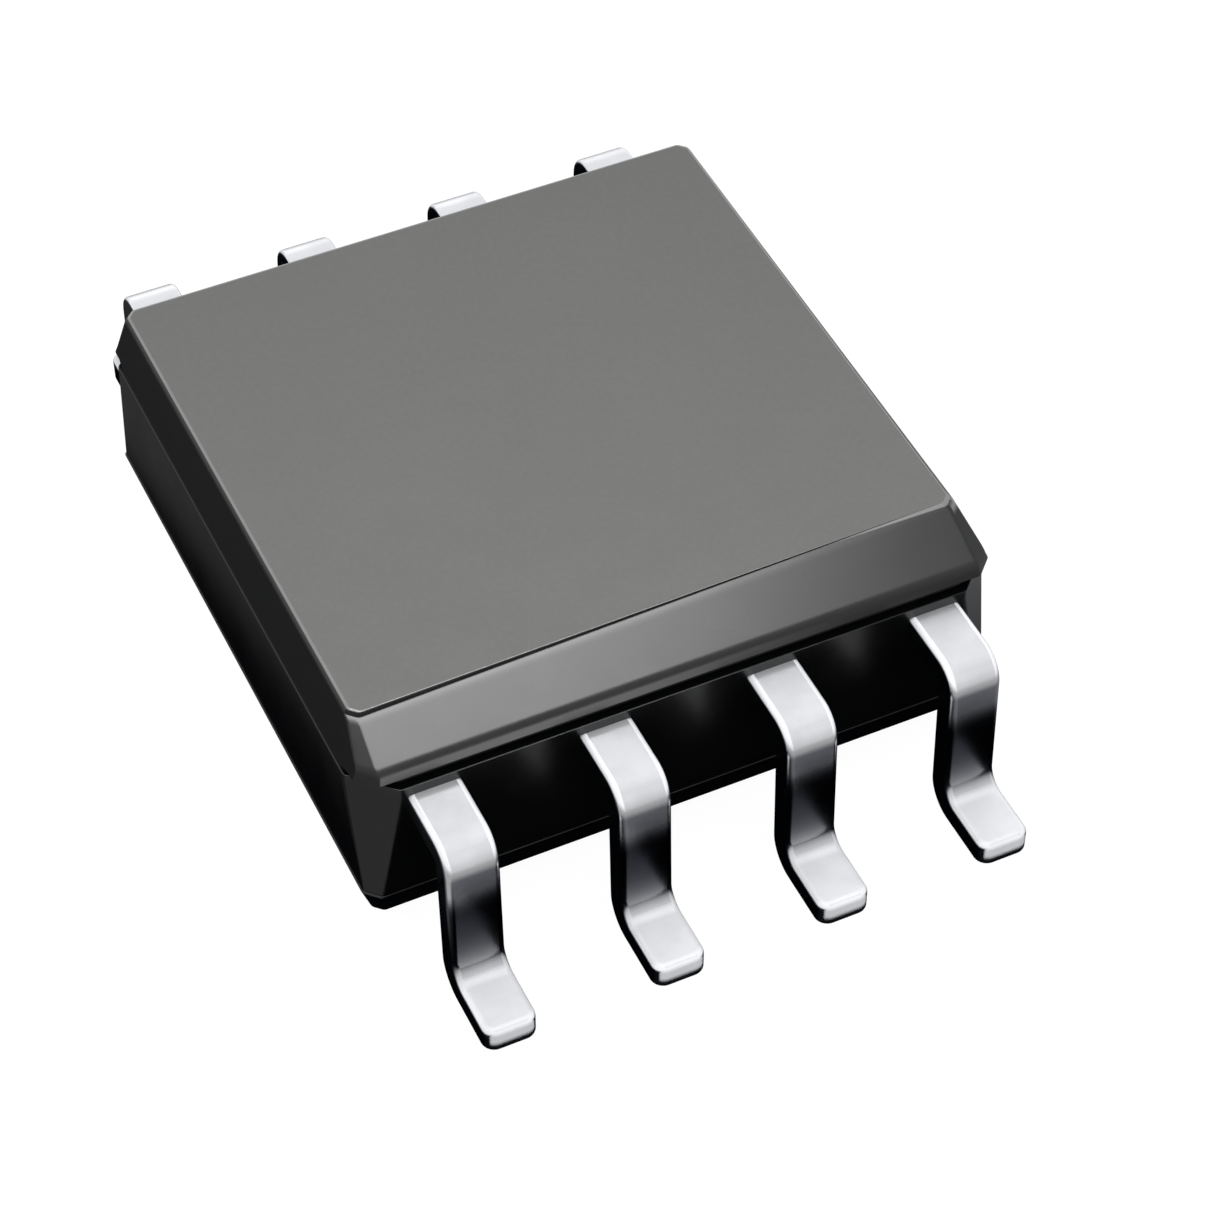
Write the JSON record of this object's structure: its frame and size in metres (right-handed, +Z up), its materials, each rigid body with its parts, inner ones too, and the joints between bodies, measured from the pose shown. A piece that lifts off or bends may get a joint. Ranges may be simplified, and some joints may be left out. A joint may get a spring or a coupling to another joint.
{
  "type": "small outline integrated circuit",
  "caption": "Moulded small-outline integrated circuit with gull-wing leads along two sides, a bevelled pin 1 edge and a wire-bonded die inside.",
  "frame": {"origin": "on the seating plane of the lead feet, under the centre of the body", "axes": "+X along the lead rows from lead 1 to lead 4, +Y across the body away from the bevelled pin 1 side, +Z up from the board"},
  "size_m": [0.005, 0.0074, 0.0019],
  "materials": {
    "mould_compound": "fine matt spark-eroded mould texture",
    "tin_plate": "satin tin plate",
    "copper_alloy": "bare rolled copper strip",
    "silver_epoxy": "silver-filled adhesive",
    "silicon": "polished and passivated",
    "gold": "drawn gold wire"
  },
  "bodies": {
    "root": {"mould_body": "mould_compound", "lead_1": "tin_plate", "lead_2": "tin_plate", "lead_3": "tin_plate", "lead_4": "tin_plate", "lead_5": "tin_plate", "lead_6": "tin_plate", "lead_7": "tin_plate", "lead_8": "tin_plate", "die_paddle": "copper_alloy", "die_attach": "silver_epoxy", "silicon_die": "silicon", "bond_wire_1": "gold", "bond_wire_2": "gold", "bond_wire_3": "gold", "bond_wire_4": "gold", "bond_wire_5": "gold", "bond_wire_6": "gold", "bond_wire_7": "gold", "bond_wire_8": "gold"}
  },
  "joints": []
}
